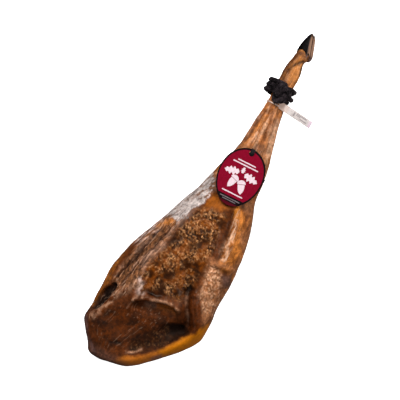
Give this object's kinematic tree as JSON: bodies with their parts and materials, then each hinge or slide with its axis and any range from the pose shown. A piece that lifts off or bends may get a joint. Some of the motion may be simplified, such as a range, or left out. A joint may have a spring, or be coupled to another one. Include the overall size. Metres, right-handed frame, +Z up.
{
  "type": "whole cured ham",
  "caption": "Whole dry-cured ham with its foot on, lying lean side up, with a black rope tied round the ankle, a seal tag and an oval label card.",
  "frame": {"origin": "middle of the part's footprint, on the table it lies on", "axes": "+X along the leg from the rump to the toes, +Y across it to the left as seen from the rump, +Z up from the table out of the lean side"},
  "size_m": [0.7997, 0.2379, 0.1289],
  "materials": {
    "ham": "greasy cured meat, fat and skin",
    "horn": "dark horn",
    "rope": "soft black cord",
    "seal": "thin white film",
    "card": "satin printed card",
    "elastic": "woven elastic"
  },
  "bodies": {
    "root": {"ham": "ham", "hoof_claw_upper": "horn", "hoof_claw_lower": "horn", "rope": "rope", "seal_tag": "seal", "label_card": "card", "label_band": "elastic"}
  },
  "joints": []
}
